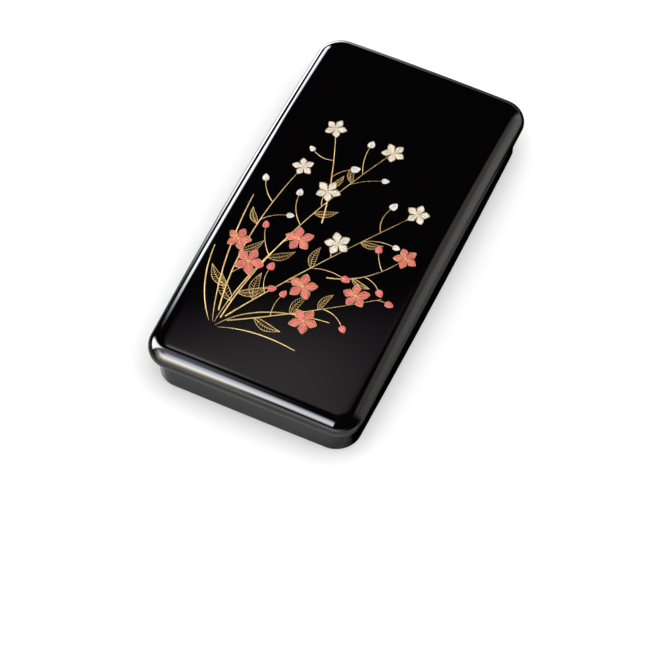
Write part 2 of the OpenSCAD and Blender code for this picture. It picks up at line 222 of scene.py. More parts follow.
def satin_lacquer():
    """Black urushi left unpolished on the tray: a soft sheen, and faintly brown where it is thin."""
    material, tree, shader = new_material("satin_black_lacquer")
    mm = place_mm(tree)
    cloud = add_node(tree, "ShaderNodeTexNoise", {"Vector": (mm, 0), "Scale": 1 / 18, "Detail": 4.0})
    tone = add_node(tree, "ShaderNodeValToRGB", {"Fac": (cloud, 0)},
                    ((0.3, linear("0E0B0A")), (0.7, linear("1C1412"))))
    grit = add_node(tree, "ShaderNodeTexNoise", {"Vector": (mm, 0), "Scale": 2.2, "Detail": 2.0})
    bump = add_node(tree, "ShaderNodeBump",
                    {"Height": (grit, 0), "Strength": 0.12, "Distance": 0.05 * MM})
    join(tree, shader, Base_Color=(tone, 0), Roughness=0.24, IOR=1.5, Normal=(bump, 0))
    return material


def pigment(name, low, high):
    """Coloured pigment rubbed into engraved strokes: matt, mottled along each petal, and darker where the
    strokes sink, which is painted shade.
    """
    material, tree, shader = new_material(name)
    petal = add_node(tree, "ShaderNodeUVMap", uv_map="petal")
    strokes = add_node(tree, "ShaderNodeMapping", {"Vector": (petal, 0), "Scale": (1.6, 6.5, 1.0)})
    scratch = add_node(tree, "ShaderNodeTexNoise",
                       {"Vector": (strokes, 0), "Scale": 1.0, "Detail": 3.0})
    mm = place_mm(tree)
    speck = add_node(tree, "ShaderNodeTexNoise", {"Vector": (mm, 0), "Scale": 2.5, "Detail": 2.0})
    both = add_node(tree, "ShaderNodeMath", {0: (scratch, 0), 1: (speck, 0)}, operation="MULTIPLY")
    # The deep tone sits where the stroke bump sinks, so it is painted shade in the strokes, mixed with
    # random mottle.
    tone = add_node(tree, "ShaderNodeValToRGB", {"Fac": (both, 0)}, ((0.15, low), (0.34, high)))
    bump = add_node(tree, "ShaderNodeBump",
                    {"Height": (scratch, 0), "Strength": 0.5, "Distance": 0.12 * MM})
    join(tree, shader, Base_Color=(tone, 0), Roughness=0.45, IOR=1.5, Normal=(bump, 0))
    return material


def rubbed_gold():
    """Gold powder rubbed into engraved lines: metal with a fine grain that breaks up its shine."""
    material, tree, shader = new_material("rubbed_gold")
    mm = place_mm(tree)
    grain = add_node(tree, "ShaderNodeTexNoise", {"Vector": (mm, 0), "Scale": 4.0, "Detail": 3.0})
    tone = add_node(tree, "ShaderNodeValToRGB", {"Fac": (grain, 0)},
                    ((0.3, linear("9C763A")), (0.6, props("finishes").gold)))
    bump = add_node(tree, "ShaderNodeBump",
                    {"Height": (grain, 0), "Strength": 0.5, "Distance": 0.1 * MM})
    join(tree, shader, Base_Color=(tone, 0), Metallic=0.75, Roughness=0.42, Normal=(bump, 0))
    return material


def honed_slate():
    """Slate rubbed smooth with fine grit: blue-grey, with long pale bedding streaks."""
    material, tree, shader = new_material("honed_slate")
    bed_mm = place_mm(tree, (14, 40, 6))
    beds = add_node(tree, "ShaderNodeTexNoise",
                    {"Vector": (bed_mm, 0), "Scale": 1.0, "Detail": 6.0, "Roughness": 0.6})
    tone = add_node(tree, "ShaderNodeValToRGB", {"Fac": (beds, 0)},
                    ((0.3, linear("2A2D31")), (0.72, linear("4A4F55"))))
    mm = place_mm(tree)
    grit = add_node(tree, "ShaderNodeTexNoise", {"Vector": (mm, 0), "Scale": 1.6, "Detail": 4.0})
    bump = add_node(tree, "ShaderNodeBump",
                    {"Height": (grit, 0), "Strength": 0.35, "Distance": 0.12 * MM})
    join(tree, shader, Base_Color=(tone, 0), Roughness=0.5, IOR=1.5, Normal=(bump, 0))
    return material


def aged_bronze():
    """Cast bronze with a brown patina that is worn to bright metal where it is handled."""
    material, tree, shader = new_material("aged_bronze")
    mm = place_mm(tree)
    patina = add_node(tree, "ShaderNodeTexNoise", {"Vector": (mm, 0), "Scale": 1 / 7, "Detail": 5.0})
    tone = add_node(tree, "ShaderNodeValToRGB", {"Fac": (patina, 0)},
                    ((0.35, linear("7A5230")), (0.65, linear("B98A52"))))
    shine = add_node(tree, "ShaderNodeMapRange", {"Value": (patina, 0), "To Min": 0.42, "To Max": 0.26})
    dimple = add_node(tree, "ShaderNodeTexVoronoi", {"Vector": (mm, 0), "Scale": 1 / 2.2},
                      feature="SMOOTH_F1")
    bump = add_node(tree, "ShaderNodeBump",
                    {"Height": (dimple, 0), "Strength": 0.25, "Distance": 0.25 * MM})
    join(tree, shader, Base_Color=(tone, 0), Metallic=1.0, Roughness=(shine, 0), Normal=(bump, 0))
    return material


def pressed_ink():
    """Soot and glue pressed in a wooden mould: near black, with a soft waxy sheen."""
    material, tree, shader = new_material("pressed_ink")
    mm = place_mm(tree, (1, 6, 1))
    grain = add_node(tree, "ShaderNodeTexNoise", {"Vector": (mm, 0), "Scale": 0.9, "Detail": 4.0})
    tone = add_node(tree, "ShaderNodeValToRGB", {"Fac": (grain, 0)},
                    ((0.3, linear("151416")), (0.7, linear("242327"))))
    bump = add_node(tree, "ShaderNodeBump",
                    {"Height": (grain, 0), "Strength": 0.3, "Distance": 0.1 * MM})
    join(tree, shader, Base_Color=(tone, 0), Roughness=0.4, Normal=(bump, 0))
    return material


def polished_bamboo():
    """Bamboo culm, scraped and oiled: straw-coloured with fine brown fibres along its length."""
    material, tree, shader = new_material("polished_bamboo")
    mm = place_mm(tree, (0.35, 26, 0.35))
    fibre = add_node(tree, "ShaderNodeTexNoise", {"Vector": (mm, 0), "Scale": 1.0, "Detail": 4.0})
    tone = add_node(tree, "ShaderNodeValToRGB", {"Fac": (fibre, 0)},
                    ((0.3, linear("A87A3E")), (0.6, linear("DDB777"))))
    bump = add_node(tree, "ShaderNodeBump",
                    {"Height": (fibre, 0), "Strength": 0.2, "Distance": 0.08 * MM})
    join(tree, shader, Base_Color=(tone, 0), Roughness=0.32, IOR=1.5, Normal=(bump, 0))
    return material


def polished_horn():
    """Dark buffalo horn, turned and buffed: brown-black with paler streaks."""
    material, tree, shader = new_material("polished_horn")
    mm = place_mm(tree, (1.5, 7, 1.5))
    streak = add_node(tree, "ShaderNodeTexNoise", {"Vector": (mm, 0), "Scale": 1.0, "Detail": 4.0})
    tone = add_node(tree, "ShaderNodeValToRGB", {"Fac": (streak, 0)},
                    ((0.4, linear("17100C")), (0.8, linear("4A3526"))))
    join(tree, shader, Base_Color=(tone, 0), Roughness=0.16, IOR=1.54)
    return material


def starched_hair():
    """Goat hair starched to a point: ivory, with painted shade that makes it a little darker in the
    grooves between strands.
    """
    material, tree, shader = new_material("starched_goat_hair")
    mm = place_mm(tree, (0.22, 12, 0.22))
    strand = add_node(tree, "ShaderNodeTexNoise", {"Vector": (mm, 0), "Scale": 1.0, "Detail": 3.0})
    # The tone follows the strand bump, so the grooves come out darker: painted shade.
    tone = add_node(tree, "ShaderNodeValToRGB", {"Fac": (strand, 0)},
                    ((0.3, linear("BFAE8C")), (0.6, linear("F1E9D6"))))
    bump = add_node(tree, "ShaderNodeBump",
                    {"Height": (strand, 0), "Strength": 0.5, "Distance": 0.15 * MM})
    join(tree, shader, Base_Color=(tone, 0), Roughness=0.55, Sheen_Weight=0.25, Normal=(bump, 0))
    return material


# ---------------------------------------------------------------- mesh helpers

def new_piece(name, verts, faces, material, body, replaces=(), sharp=None):
    """A mesh piece from points in millimetres, smooth except at edges sharper than the sharp angle."""
    mesh = bpy.data.meshes.new(name)
    mesh.from_pydata([Vector(v) * MM for v in verts], [], faces)
    mesh.validate()
    return finish_piece(name, mesh, material, body, replaces, sharp)


def finish_piece(name, mesh, material, body, replaces=(), sharp=None):
    """Shades a mesh, gives it its finish and its body, and says which CAD solids it replaces."""
    mesh.polygons.foreach_set("use_smooth", [True] * len(mesh.polygons))
    if sharp:
        mesh.set_sharp_from_angle(angle=math.radians(sharp))
    mesh.materials.clear()
    mesh.materials.append(material)
    piece = bpy.data.objects.new(name, mesh)
    bpy.context.scene.collection.objects.link(piece)
    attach(piece, body)
    if replaces:
        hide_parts(*replaces)
    return piece


def skin(first, rings, last):
    """Points and faces of a closed skin over rings, from a middle point to a middle point."""
    n = len(rings[0])
    verts = [first] + [p for loop in rings for p in loop] + [last]
    end = len(verts) - 1
    faces = [(0, 1 + (k + 1) % n, 1 + k) for k in range(n)]
    for j in range(len(rings) - 1):
        for k in range(n):
            a, b = 1 + n * j + k, 1 + n * j + (k + 1) % n
            faces.append((a, b, b + n, a + n))
    faces += [(end - n + k, end - n + (k + 1) % n, end) for k in range(n)]
    return verts, faces


def turned_outwards(mesh):
    """Gives a closed mesh outward normals."""
    work = bmesh.new()
    work.from_mesh(mesh)
    bmesh.ops.recalc_face_normals(work, faces=work.faces)
    work.to_mesh(mesh)
    work.free()


BEVEL_STEPS = 3
CREASE = 25                    # edges sharper than this are rounded, in degrees
WELD = 0.002                   # points nearer than this become one, in millimetres


def softened(node, name, width, material, body):
    """A copy of a CAD solid with its edges rounded by a real bevel of a width in millimetres."""
    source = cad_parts[node]
    work = bmesh.new()
    work.from_mesh(source.data)
    bmesh.ops.remove_doubles(work, verts=work.verts, dist=WELD * MM)
    bmesh.ops.dissolve_limit(work, angle_limit=math.radians(1), verts=work.verts, edges=work.edges)
    edges = [e for e in work.edges if len(e.link_faces) == 2
             and e.calc_face_angle(0) > math.radians(CREASE)]
    bmesh.ops.bevel(work, geom=edges, offset=width * MM, offset_type="OFFSET", segments=BEVEL_STEPS,
                    profile=0.5, affect="EDGES", clamp_overlap=True)
    bmesh.ops.recalc_face_normals(work, faces=work.faces)
    mesh = bpy.data.meshes.new(name)
    work.to_mesh(mesh)
    work.free()
    return finish_piece(name, mesh, material, body, (node,), sharp=30)


# ---------------------------------------------------------------- plan of the case

ARC_STEPS, SIDE_STEPS = 20, 36


def shares(steps):
    """Even shares from 0 to 1, both ends included."""
    return [k / steps for k in range(steps + 1)]


def quarter(steps):
    """Even angles from 0 to 90 degrees, both ends included, in radians."""
    return [math.radians(90 * k / steps) for k in range(steps + 1)]


def placed(centre, turn, ahead, left=0.0):
    """The point so far ahead of a centre, and to its left, when it faces along the turn."""
    x, y = centre
    return (x + ahead * math.cos(turn) - left * math.sin(turn),
            y + ahead * math.sin(turn) + left * math.cos(turn))


def arc(x, y, r, start):
    return [placed((x, y), math.radians(start + 90 * k / ARC_STEPS), r) for k in range(ARC_STEPS + 1)]


def along(p, q):
    """Points on the way from p to q, both ends left out."""
    return [(p[0] + (q[0] - p[0]) * k / SIDE_STEPS, p[1] + (q[1] - p[1]) * k / SIDE_STEPS)
            for k in range(1, SIDE_STEPS)]


def straight_plan(w, l, r):
    """Rounded rectangle with half sizes w and l, walked anticlockwise from its right-hand side."""
    r = max(r, 0.2)
    return (arc(w - r, l - r, r, 0) + along((w - r, l), (r - w, l))
            + arc(r - w, l - r, r, 90) + along((-w, l - r), (-w, r - l))
            + arc(r - w, r - l, r, 180) + along((r - w, -l), (w - r, -l))
            + arc(w - r, r - l, r, 270) + along((w, r - l), (w, l - r)))


class CasePlan:
    """The case's plan curves, from its sizes."""

    def __init__(self, sizes):
        self.s = sizes
        self.half_w = sizes.width / 2 - sizes.long_bow
        self.half_l = sizes.length / 2 - sizes.short_bow

    def crown(self, x, y):
        return -self.s.crown_side * (x / self.half_w) ** 2 - self.s.crown_end * (y / self.half_l) ** 2

    def top(self, x, y):
        """Height of the lid's face at a point."""
        return self.s.height + self.crown(x, y)

    def ring(self, inset, r, z, follow=0.0, size=1.0):
        """A bowed ring with corners of radius r. follow is how much of the crown's curve it takes on."""
        w, l = self.half_w - inset, self.half_l - inset
        loop = []
        for x, y in straight_plan(w, l, r):
            bx = size * x * (1 + self.s.long_bow / w * (1 - (y / l) ** 2))
            by = size * y * (1 + self.s.short_bow / l * (1 - (x / w) ** 2))
            loop.append((bx, by, z + follow * self.crown(bx, by)))
        return loop


# Sizes that the lid and the body share with the CAD model, in millimetres
SEAT_GAP = 0.3                 # air between the lid's lower edge and the ledge
LEDGE_ROUND = 0.6              # rounding of the ledge's edge and of the lid's lower edge
TUCK_END = math.radians(60)    # angle on its ellipse at which the lid's edge is cut off
INNER_ROUND = 3.0              # fillet between the lid's wall and its ceiling
INNER_EDGE = 0.4               # rounding of the lid's lower edge on the inside
CEILING_FOLLOW = 0.8           # how much of the crown's curve the ceiling follows
FLOOR = 3.5                    # thickness of the body's floor
RIM_GAP = 0.3                  # air between the inner rim and the lid
RIM_THICK = 2.2
RIM_RISE = 4.2                 # height of the inner rim over the ledge
CROWN_RINGS, ROLL_STEPS, TUCK_STEPS, CEILING_RINGS, ROUND_STEPS = 26, 30, 20, 9, 5


def lid_rings(plan):
    """Rings of the lid from its crown over the roll, round the lower edge and up the inside."""
    s = plan.s
    lid_z = s.ledge + SEAT_GAP
    widest_z = s.height - s.roll_drop
    tuck_z = lid_z + LEDGE_ROUND
    inner = s.tuck + s.edge
    ceiling = s.height - s.top
    rings = [plan.ring(s.roll_in, s.corner - s.roll_in, s.height, 1, k / CROWN_RINGS)
             for k in range(1, CROWN_RINGS)]
    for a in quarter(ROLL_STEPS):
        inset = s.roll_in * (1 - math.sin(a))
        rings.append(plan.ring(inset, s.corner - inset, s.height - s.roll_drop * (1 - math.cos(a)),
                               (1 + math.cos(a)) / 2))
    for t in shares(TUCK_STEPS)[1:]:
        low = math.sin(TUCK_END * t) / math.sin(TUCK_END)
        inset = s.tuck * (1 - math.cos(TUCK_END * t)) / (1 - math.cos(TUCK_END))
        rings.append(plan.ring(inset, s.corner - inset, widest_z - (widest_z - tuck_z) * low,
                               0.5 * (1 - t)))
    for a in quarter(6)[1:]:
        inset = s.tuck + LEDGE_ROUND * (1 - math.cos(a))
        rings.append(plan.ring(inset, s.corner - inset, tuck_z - LEDGE_ROUND * math.sin(a)))
    rings.append(plan.ring(inner - 0.5, s.corner - inner + 0.5, lid_z))
    for a in quarter(4):
        rings.append(plan.ring(inner - INNER_EDGE + INNER_EDGE * math.sin(a), s.corner - inner,
                               lid_z + INNER_EDGE * (1 - math.cos(a))))
    for a in quarter(8):
        rings.append(plan.ring(inner + INNER_ROUND * (1 - math.cos(a)), s.corner - inner + 1,
                               ceiling - INNER_ROUND * (1 - math.sin(a)), CEILING_FOLLOW))
    rings += [plan.ring(inner + INNER_ROUND, s.corner - inner + 1, ceiling, CEILING_FOLLOW,
                        1 - k / CEILING_RINGS) for k in range(1, CEILING_RINGS)]
    return rings


def body_rings(plan):
    """Rings of the body from the floor inside, over the rim and the ledge, down to the foot."""
    s = plan.s
    rim_out = s.tuck + s.edge + RIM_GAP
    cavity = rim_out + RIM_THICK
    rim_z = s.ledge + RIM_RISE
    fillet, foot, taper_in, rim_round = 0.8, 0.8, 0.4, 0.5
    hold, near = 0.3, 0.15     # rings this close to a round keep the face beside it flat
    set_in = 0.03              # the wall's upper end, from the ledge's edge

    def body_ring(inset, z, size=1.0):
        return plan.ring(inset, s.body_corner - (inset - s.tuck), z, 0, size)

    def round_over(inset, z, r, start):
        """A quarter round about a centre at (inset, z), walked backwards from its end."""
        angles = [math.radians(start + 90 * k / ROUND_STEPS) for k in range(ROUND_STEPS, -1, -1)]
        return [body_ring(inset - r * math.cos(a), z + r * math.sin(a)) for a in angles]

    rings = [body_ring(cavity + fillet, FLOOR, k / 6) for k in range(1, 6)]
    rings += [body_ring(cavity + fillet * (1 - math.sin(a)), FLOOR + fillet * (1 - math.cos(a)))
              for a in quarter(6)]
    rings += [body_ring(cavity, rim_z - rim_round - hold)]
    rings += round_over(cavity - rim_round, rim_z - rim_round, rim_round, 90)
    rings += round_over(rim_out + rim_round, rim_z - rim_round, rim_round, 0)
    rings += [body_ring(rim_out, rim_z - rim_round - hold), body_ring(rim_out, s.ledge + near),
              body_ring(rim_out, s.ledge), body_ring(rim_out - near, s.ledge),
              body_ring(s.tuck + LEDGE_ROUND + near, s.ledge)]
    rings += round_over(s.tuck + LEDGE_ROUND, s.ledge - LEDGE_ROUND, LEDGE_ROUND, 0)
    wall_z = s.ledge - LEDGE_ROUND
    rings += [body_ring(s.tuck + set_in + taper_in * k / 8, wall_z - (wall_z - foot) * k / 8)
              for k in range(1, 8)]
    rings += [body_ring(s.tuck + taper_in + foot * (1 - math.cos(a)), foot * (1 - math.sin(a)))
              for a in quarter(9)]
    rings += [body_ring(s.tuck + taper_in + foot, 0, 1 - k / 6) for k in range(1, 6)]
    return rings


class WB_OT_lid(bpy.types.Operator):
    """Skins the lid in polished lacquer"""
    bl_idname = "writing_box.lid"
    bl_label = "Lid"

    def execute(self, context):
        plan = CasePlan(props("case"))
        ceiling = plan.s.height - plan.s.top
        verts, faces = skin((0, 0, plan.s.height), lid_rings(plan), (0, 0, ceiling))
        piece = new_piece("lid_shell", verts, faces, polished_lacquer(), "lid",
                          ("lid",))
        turned_outwards(piece.data)
        return {"FINISHED"}


class WB_OT_body(bpy.types.Operator):
    """Skins the body in polished lacquer"""
    bl_idname = "writing_box.body"
    bl_label = "Body"

    def execute(self, context):
        plan = CasePlan(props("case"))
        verts, faces = skin((0, 0, FLOOR), body_rings(plan), (0, 0, 0))
        piece = new_piece("body_shell", verts, faces, polished_lacquer(), "box_body",
                          ("box_body",))
        turned_outwards(piece.data)
        return {"FINISHED"}


# ---------------------------------------------------------------- inlay on the lid

# Stems as quadratic curves in plan, in millimetres: root, bend and tip
STEMS = [
    ((-33, -88), (-30, -28), (10, 58)),
    ((-31, -86), (-6, -44), (40, 22)),
    ((-29, -88), (4, -70), (44, -40)),
    ((-36, -84), (-48, -36), (-34, 26)),
    ((-8, -8), (-14, 22), (-30, 58)),
    ((10, -40), (34, -34), (46, -8)),
]
# Flowers: stem, place along it, shift to its left, size, pigment, turn in degrees
FLOWERS = [
    (0, 0.30, 7, 1.0, "coral", 10), (0, 0.50, -6, 0.95, "coral", 40), (0, 0.72, 5, 0.85, "white", 5),
    (0, 0.98, 0, 0.78, "white", 60), (1, 0.42, -8, 1.0, "coral", 25), (1, 0.66, 6, 0.9, "white", 50),
    (1, 0.99, 0, 0.8, "white", 20), (2, 0.52, -6, 0.95, "coral", 0), (2, 0.86, 5, 0.9, "coral", 33),
    (3, 0.46, 5, 0.85, "coral", 15), (3, 0.98, 0, 0.72, "white", 45), (4, 0.98, 0, 0.75, "white", 8),
    (5, 0.97, 0, 0.8, "coral", 55),
]
# Buds: stem, place along it, length of stalk to the left, pigment
BUDS = [
    (0, 0.20, -13, "coral"), (0, 0.42, 14, "coral"), (0, 0.60, 15, "white"), (0, 0.84, -11, "white"),
    (0, 0.90, 12, "white"), (1, 0.30, 12, "coral"), (1, 0.55, -15, "coral"), (1, 0.80, -12, "white"),
    (1, 0.88, 11, "white"), (2, 0.36, 12, "coral"), (2, 0.70, -13, "coral"), (2, 0.98, -3, "coral"),
    (3, 0.30, -12, "coral"), (3, 0.66, -12, "white"), (3, 0.78, 12, "white"), (4, 0.55, -11, "white"),
    (4, 0.72, 12, "white"), (5, 0.50, -11, "coral"), (5, 0.72, 12, "coral"),
]
# Leaves: stem, place along it, length, lean to the left in degrees
LEAVES = [
    (0, 0.10, 20, 48), (0, 0.15, 17, -46), (0, 0.36, 16, -40), (0, 0.62, 14, -44), (0, 0.80, 12, 40),
    (1, 0.18, 18, 42), (1, 0.50, 15, 36), (1, 0.74, 13, -42), (2, 0.20, 17, -38), (2, 0.44, 15, 40),
    (2, 0.62, 13, 38), (3, 0.16, 17, 44), (3, 0.40, 14, -40), (3, 0.58, 12, 40), (4, 0.40, 11, -38),
    (5, 0.30, 12, -40),
]
# Blades of grass: foot, bend and tip in plan
GRASS = [
    ((-36, -92), (-50, -56), (-52, -6)), ((-34, -94), (-20, -70), (24, -66)),
    ((-38, -92), (-54, -74), (-57, -46)), ((-32, -94), (-12, -86), (14, -90)),
    ((-35, -92), (-34, -60), (-20, -22)),
]


# Gold strokes: width over that of a line, the tip's share of it, and height over that of the relief
STROKES = {
    "stem": (2.6, 0.3, 0.7),
    "flower_stalk": (1.3, 0.6, 0.6),
    "bud_stalk": (1.2, 0.6, 0.6),
    "petal_rim": (0.62, 1, 1.9),
    "petal_rib": (0.6, 0.3, 2.1),
    "stamen": (0.6, 1, 2.2),
    "bud_rib": (0.9, 0.3, 2.3),
    "leaf_edge": (0.7, 1, 0.7),
    "midrib": (0.9, 0.35, 0.8),
}
SINK = 0.06                    # how far the rim of each raised shape lies in the lacquer
RELIEF_WELD = 0.0005           # points nearer than this become one


class Relief:
    """Gathers thin raised shapes that lie on the lid's face."""

    def __init__(self, plan):
        self.plan = plan
        self.verts, self.faces, self.uvs = [], [], []

    def sheet(self, rows, heights, uv_rows):
        """A strip over rows of plan points, raised by the heights."""
        base, width = len(self.verts), len(rows[0])
        for row, lift, uv in zip(rows, heights, uv_rows):
            for (x, y), h, st in zip(row, lift, uv):
                self.verts.append((x, y, self.plan.top(x, y) + h))
                self.uvs.append(st)
        for j in range(len(rows) - 1):
            for k in range(width - 1):
                a = base + j * width + k
                self.faces.append((a, a + 1, a + width + 1, a + width))

    def lobe(self, centre, turn, reach, half, dome, phase, wedge=9.0, steps=11, across=6):
        """A pointed petal from a centre outwards, domed and sunk at its rim. wedge narrows its foot."""
        rows, lifts, uvs = [], [], []
        for u in shares(steps):
            w = min(half * lobe_width(u), wedge * reach * u)
            row, lift, uv = [], [], []
            for k in range(across + 1):
                v = 2 * k / across - 1
                row.append(placed(centre, turn, reach * u, w * v))
                edge = max(0.0, 1 - abs(v) ** 3) * (1 - u ** 6)
                lift.append(-SINK if edge <= 0 else dome * (0.45 + 0.55 * edge))
                uv.append((u + phase, v + 3 * phase))
            rows.append(row)
            lifts.append(lift)
            uvs.append(uv)
        self.sheet(rows, lifts, uvs)

    def ribbon(self, points, widths, height):
        """A line along plan points that tapers with its widths, with a rounded back."""
        rows, lifts, uvs = [], [], []
        for k, (x, y) in enumerate(points):
            ax, ay = points[max(k - 1, 0)]
            bx, by = points[min(k + 1, len(points) - 1)]
            gap = math.hypot(bx - ax, by - ay) or 1.0
            nx, ny = -(by - ay) / gap, (bx - ax) / gap
            w = widths[k] / 2
            rows.append([(x + nx * w * t, y + ny * w * t) for t in (1, 0.6, 0, -0.6, -1)])
            lifts.append([-SINK, height * 0.75, height, height * 0.75, -SINK])
            uvs.append([(k / len(points), t) for t in range(5)])
        self.sheet(rows, lifts, uvs)

    def bead(self, centre, r, height, sides=10, rings=3):
        """A small round boss."""
        rows, lifts = [], []
        for j in range(rings + 1):
            share = 1 - j / rings
            rows.append([placed(centre, math.tau * k / sides, r * max(share, 0.001))
                         for k in range(sides + 1)])
            lifts.append([height * math.sqrt(1 - share ** 2) if j else -SINK] * (sides + 1))
        self.sheet(rows, lifts, [[(0.5, 0.5)] * (sides + 1)] * (rings + 1))

    def piece(self, name, material):
        mesh = bpy.data.meshes.new(name)
        mesh.from_pydata([Vector(v) * MM for v in self.verts], [], self.faces)
        layer = mesh.uv_layers.new(name="petal")
        for loop in mesh.loops:
            layer.data[loop.index].uv = self.uvs[loop.vertex_index]
        work = bmesh.new()
        work.from_mesh(mesh)
        bmesh.ops.remove_doubles(work, verts=work.verts, dist=RELIEF_WELD * MM)
        bmesh.ops.recalc_face_normals(work, faces=work.faces)
        for face in work.faces:
            if face.normal.z < 0:
                face.normal_flip()
        work.to_mesh(mesh)
        work.free()
        return finish_piece(name, mesh, material, "lid")


def lobe_width(u):
    """Half width of a petal along its length, as a share of its largest."""
    return math.sin(math.pi * min(1, 0.16 + 0.84 * u) ** 0.92) ** 0.75 if u < 1 else 0.0


def curve_point(stem, t):
    (ax, ay), (bx, by), (cx, cy) = stem
    return (ax * (1 - t) ** 2 + 2 * bx * t * (1 - t) + cx * t * t,
            ay * (1 - t) ** 2 + 2 * by * t * (1 - t) + cy * t * t)


def curve_heading(stem, t):
    (ax, ay), (bx, by), (cx, cy) = stem
    return math.atan2((by - ay) * (1 - t) + (cy - by) * t, (bx - ax) * (1 - t) + (cx - bx) * t)


def beside(stem, t, shift):
    """A point beside a stem, shifted to its left."""
    return placed(curve_point(stem, t), curve_heading(stem, t), 0.0, shift)


def taper(count, wide, tip):
    """Widths that shrink evenly to a share at the tip."""
    return [wide * (1 - (1 - tip) * k / (count - 1)) for k in range(count)]


def bent_line(start, end, bow):
    """Points from start to end that bow to the left."""
    dx, dy = end[0] - start[0], end[1] - start[1]
    points = []
    for t in shares(13):
        out = bow * 4 * t * (1 - t)
        points.append((start[0] + dx * t - dy * out, start[1] + dy * t + dx * out))
    return points


class Spray:
    """Draws the spray's parts in coral, white and gold relief."""

    def __init__(self, plan, sizes):
        self.line, self.high, self.radius = sizes.line, sizes.raise_by, sizes.flower
        self.chance = random.Random(sizes.seed)
        self.relief = {name: Relief(plan) for name in ("coral", "white", "gold")}
        self.gold = self.relief["gold"]

    def stroke(self, kind, points):
        """A gold line along plan points."""
        wide, tip, high = STROKES[kind]
        self.gold.ribbon(points, taper(len(points), self.line * wide, tip), self.high * high)

    def blade(self, curve):
        """A blade of grass, widest past its middle."""
        widths = [self.line * 2.0 * math.sin(math.pi * (0.12 + 0.88 * (1 - t))) ** 0.7 + 0.08
                  for t in shares(30)]
        self.gold.ribbon([curve_point(curve, t) for t in shares(30)], widths, self.high * 0.5)

    def leaf(self, stem, place, reach, lean):
        """A slender leaf in gold outline, with a midrib and engraved veins."""
        foot = curve_point(stem, place)
        turn = curve_heading(stem, place) + math.radians(lean)
        half = reach * 0.15

        def at(u, v):
            bow = reach * 0.1 * math.sin(math.pi * u) * (1 if lean > 0 else -1)
            return placed(foot, turn, reach * u, v * half * math.sin(math.pi * u ** 0.8) + bow)

        for side in (-1, 1):
            self.stroke("leaf_edge", [at(t, side) for t in shares(16)])
        self.stroke("midrib", [at(t, 0) for t in shares(12)])
        for k in range(1, 9):
            u = 0.08 + k * 0.095
            for side in (-1, 1):
                vein = [at(u, 0), at(u + 0.045, side * 0.5), at(u + 0.075, side * 0.94)]
                widths = [self.line * share for share in (0.42, 0.36, 0.28)]
                self.gold.ribbon(vein, widths, self.high * 0.6)

    def flower(self, stem, place, shift, size, tint, degrees):
        """A bellflower seen from above: five pointed lobes with gold rims, ribs and stamens."""
        centre = beside(stem, place, shift)
        if shift:
            root = curve_point(stem, max(0, place - 0.06))
            self.stroke("flower_stalk", bent_line(root, centre, 0.12))
        r, turn = self.radius * size, math.radians(degrees)
        for k in range(5):
            a = turn + math.tau * k / 5 + self.chance.uniform(-0.05, 0.05)
            reach = r * self.chance.uniform(0.94, 1.04)
            self.relief[tint].lobe(centre, a, reach, r * 0.36, self.high * 1.6,
                                   self.chance.random(), 0.56)
            rim = []
            for j in range(19):
                t = j / 9 - 1
                u = 1 - abs(t) * 0.72
                side = min(r * 0.375 * lobe_width(u), 0.58 * reach * u) * (1 if t > 0 else -1)
                rim.append(placed(centre, a, reach * 1.02 * u, side))
            self.stroke("petal_rim", rim)
            for spread, out in ((-0.16, 0.62), (0, 0.86), (0.16, 0.62)):
                along_rib = [0.2 + (out - 0.2) * j / 6 for j in range(7)]
                self.stroke("petal_rib",
                            [placed(centre, a + spread * (1 - t), reach * t) for t in along_rib])
            between = turn + math.tau * (k + 0.5) / 5
            self.stroke("stamen", [placed(centre, between, r * 0.3 * t) for t in (0.1, 0.4, 0.7, 1)])
            self.gold.bead(placed(centre, between, r * 0.3), self.line * 0.85, self.high * 2.9)
        self.gold.bead(centre, r * 0.11, self.high * 3.2)

    def bud(self, stem, place, shift, tint):
        """A balloon-shaped bud on a bent stalk, with gold ribs."""
        root, tip = curve_point(stem, place - 0.05), beside(stem, place + 0.04, shift)
        r = self.chance.uniform(2.1, 2.9)
        stalk = bent_line(root, tip, self.chance.uniform(0.05, 0.14))
        self.stroke("bud_stalk", stalk)
        a = math.atan2(tip[1] - stalk[-3][1], tip[0] - stalk[-3][0])
        self.relief[tint].lobe(placed(tip, a, -0.2 * r), a, r * 2.0, r * 0.82, self.high * 2.0,
                               self.chance.random())
        for spread in (-0.5, 0, 0.5):
            self.stroke("bud_rib", [placed(tip, a + spread * (1 - t / 2), r * t)
                                    for t in (-0.1, 0.25, 0.6, 0.95)])


class WB_OT_inlay(bpy.types.Operator):
    """Lays the spray of bellflowers, leaves and grass on the lid"""
    bl_idname = "writing_box.inlay"
    bl_label = "Inlay"

    def execute(self, context):
        spray = Spray(CasePlan(props("case")), props("inlay"))
        for stem in STEMS:
            spray.stroke("stem", [curve_point(stem, t) for t in shares(40)])
        for curve in GRASS:
            spray.blade(curve)
        for draw, rows in ((spray.leaf, LEAVES), (spray.flower, FLOWERS), (spray.bud, BUDS)):
            for index, *rest in rows:
                draw(STEMS[index], *rest)
        finishes = props("finishes")
        for tint in ("coral", "white"):
            # The deep pigment colour is painted shade for the sunk strokes.
            finish = pigment(tint + "_pigment", getattr(finishes, tint + "_in_shade"),
                             getattr(finishes, tint))
            spray.relief[tint].piece("inlay_" + tint, finish)
        spray.gold.piece("inlay_gold", rubbed_gold())
        return {"FINISHED"}


# ---------------------------------------------------------------- tray and its load

TRAY_NODES = ("tray_floor", "tray_rail_left", "tray_rail_right", "tray_rail_front", "tray_rail_back",
              "tray_divider", "well_board", "brush_rest_front", "brush_rest_back")


